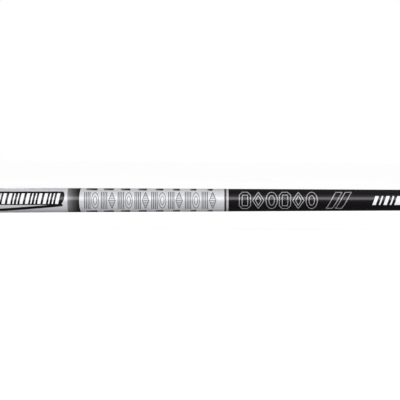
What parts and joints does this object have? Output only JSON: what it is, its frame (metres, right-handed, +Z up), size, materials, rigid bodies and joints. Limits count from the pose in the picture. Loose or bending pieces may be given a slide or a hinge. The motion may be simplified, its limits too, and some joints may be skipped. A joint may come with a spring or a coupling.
{
  "type": "golf driver",
  "caption": "Adjustable golf driver: rubber grip, tapered graphite shaft, screwed hosel adapter, hollow titanium head with carbon panels and a screwed rear weight, lying face down.",
  "frame": {"origin": "on the floor under the middle of the whole club's box", "axes": "+X along the shaft from the grip to the head, +Z up from the floor, the face down on the floor; -Y is the side the shaft's graphics face"},
  "size_m": [1.186, 0.108, 0.1187],
  "materials": {
    "cap_rubber": "matte",
    "grip_rubber": "matte",
    "tape": "matte",
    "shaft_graphite": "gloss",
    "plug_foam": "matte",
    "ferrule_plastic": "gloss",
    "black_alloy": "satin",
    "screw_steel": "satin",
    "head_titanium": "satin",
    "face_titanium": "satin",
    "carbon": "gloss",
    "trim_rubber": "matte",
    "weight_steel": "satin"
  },
  "bodies": {
    "head": {"head_body": "head_titanium", "face_plate": "face_titanium", "crown_panel": "carbon", "sole_panel_toe": "carbon", "sole_panel_heel": "carbon", "slot_insert": "trim_rubber", "weight_insert": "screw_steel", "hosel_bush": "black_alloy", "screw_retainer": "trim_rubber"},
    "shaft": {"shaft": "shaft_graphite", "grip_sleeve": "grip_rubber", "grip_cap": "cap_rubber", "grip_tape": "tape", "tip_plug": "plug_foam", "ferrule": "ferrule_plastic", "adapter_sleeve": "black_alloy"},
    "hosel_screw": {"hosel_screw": "screw_steel", "screw_washer": "screw_steel"},
    "weight_ring": {"weight_ring": "trim_rubber"},
    "rear_weight": {"rear_weight": "weight_steel"}
  },
  "joints": [
    {"name": "hosel_screw_turn", "type": "hinge", "parent": "head", "child": "hosel_screw", "pos_m": [0.53578, -0.0353, 0.02151], "axis": [1, 0, 0.0068], "range_deg": [0, 3240]},
    {"name": "shaft_lift", "type": "slide", "parent": "head", "child": "shaft", "axis": [-1, 0, -0.0068], "range_m": [0, 0.0072]},
    {"name": "rear_weight_travel", "type": "slide", "parent": "head", "child": "weight_ring", "axis": [0.828, -0.5119, 0.2288], "range_m": [0, 0.006]},
    {"name": "rear_weight_turn", "type": "hinge", "parent": "weight_ring", "child": "rear_weight", "pos_m": [0.56872, -0.0152, 0.09517], "axis": [0.828, -0.5119, 0.2288], "range_deg": [0, 2160]}
  ],
  "couplings": [
    {"joint": "hosel_screw_turn", "follows": "shaft_lift", "rad_per_m": 7854},
    {"joint": "rear_weight_turn", "follows": "rear_weight_travel", "rad_per_m": 6283.2}
  ]
}
